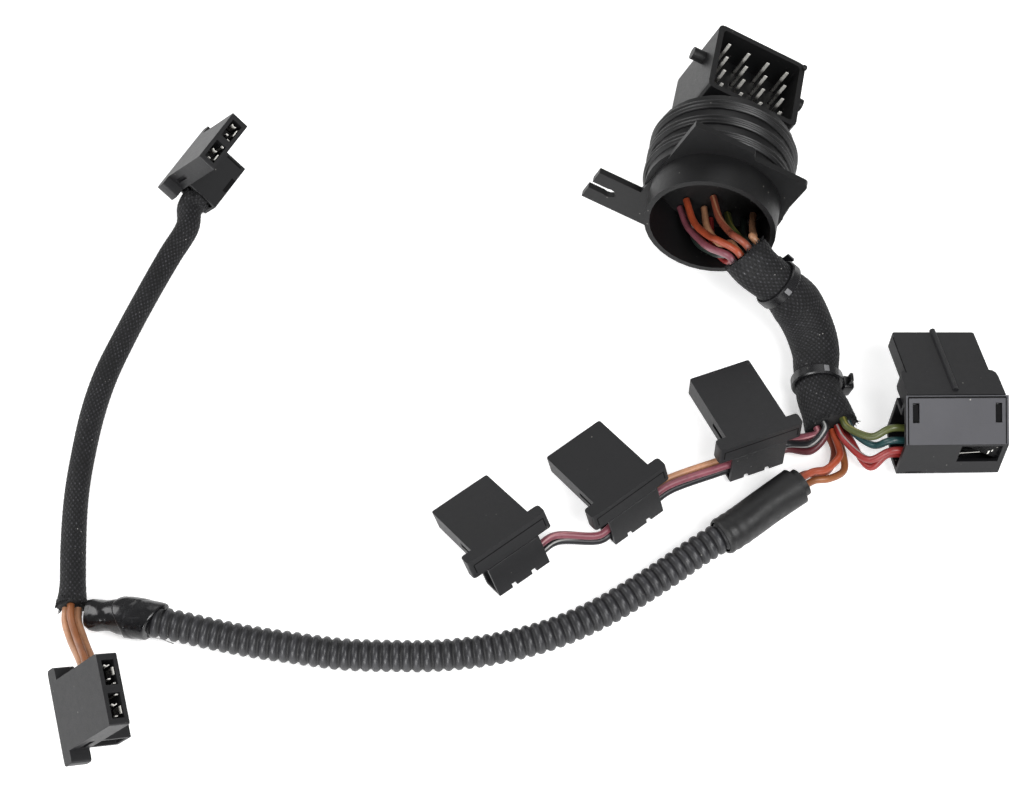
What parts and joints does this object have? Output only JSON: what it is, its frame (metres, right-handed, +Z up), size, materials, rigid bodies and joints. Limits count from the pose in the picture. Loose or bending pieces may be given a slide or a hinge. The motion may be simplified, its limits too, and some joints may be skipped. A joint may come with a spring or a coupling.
{
  "type": "wiring harness",
  "caption": "Gearbox wiring harness with a round bulkhead connector, braided trunk, corrugated conduit and flat plugs on loose coloured wires.",
  "frame": {"origin": "middle of the footprint, on the surface that the harness lies on", "axes": "+Z up, +X along the harness from the corrugated conduit's far end towards the wide plug, +Y towards the pin header"},
  "size_m": [0.3034, 0.2548, 0.0665],
  "materials": {
    "braid": "woven black polyester monofilament",
    "conduit": "satin black corrugated polyamide",
    "housing": "satin black glass-filled nylon",
    "plug": "satin black nylon",
    "seal": "matt black rubber",
    "tape": "glossy black tape and heat-shrink tube",
    "tie": "black nylon",
    "tin": "bright tin plating",
    "wire_black": "satin black insulation",
    "wire_brown": "satin red-brown insulation",
    "wire_crimson": "satin dark red insulation",
    "wire_green": "satin dark green insulation",
    "wire_mauve": "satin mauve insulation",
    "wire_ochre": "satin ochre insulation",
    "wire_olive": "satin olive insulation",
    "wire_orange": "satin orange insulation",
    "wire_peach": "satin peach insulation",
    "wire_red": "satin red insulation",
    "wire_teal": "satin dark teal insulation"
  },
  "bodies": {
    "root": {"bulkhead_housing": "housing", "seal_ring_1": "seal", "seal_ring_2": "seal", "seal_ring_3": "seal", "contact_pin_01": "tin", "contact_pin_02": "tin", "contact_pin_03": "tin", "contact_pin_04": "tin", "contact_pin_05": "tin", "contact_pin_06": "tin", "contact_pin_07": "tin", "contact_pin_08": "tin", "contact_pin_09": "tin", "contact_pin_10": "tin", "contact_pin_11": "tin", "contact_pin_12": "tin", "contact_pin_13": "tin", "contact_pin_14": "tin", "contact_pin_15": "tin", "contact_pin_16": "tin", "plug_a_body": "plug", "plug_a_cover": "plug", "plug_b_body": "plug", "plug_b_cover": "plug", "plug_c_body": "plug", "plug_c_cover": "plug", "plug_e_body": "plug", "plug_e_cover": "plug", "plug_f_body": "plug", "plug_f_cover": "plug", "plug_d_body": "plug", "plug_d_cover": "plug", "plug_d_contact_strip": "tin", "trunk_sleeve": "braid", "branch_sleeve": "braid", "conduit": "conduit", "conduit_end_sleeve": "tape", "conduit_tape": "tape", "cable_tie_upper": "tie", "cable_tie_lower": "tie", "wire_chain_mauve": "wire_mauve", "wire_chain_crimson": "wire_crimson", "wire_chain_black": "wire_black", "wire_chain_peach": "wire_peach", "wire_wide_olive": "wire_olive", "wire_wide_teal": "wire_teal", "wire_wide_red_upper": "wire_red", "wire_wide_red_lower": "wire_red", "wire_conduit_brown": "wire_brown", "wire_conduit_ochre": "wire_ochre", "wire_conduit_orange": "wire_orange", "wire_tail_peach": "wire_peach", "wire_tail_ochre": "wire_ochre", "wire_tail_tan": "wire_peach", "wire_cup_mauve": "wire_mauve", "wire_cup_orange": "wire_orange", "wire_cup_tan": "wire_peach", "wire_cup_brown": "wire_brown", "wire_cup_black": "wire_green", "wire_cup_green": "wire_olive"}
  },
  "joints": []
}
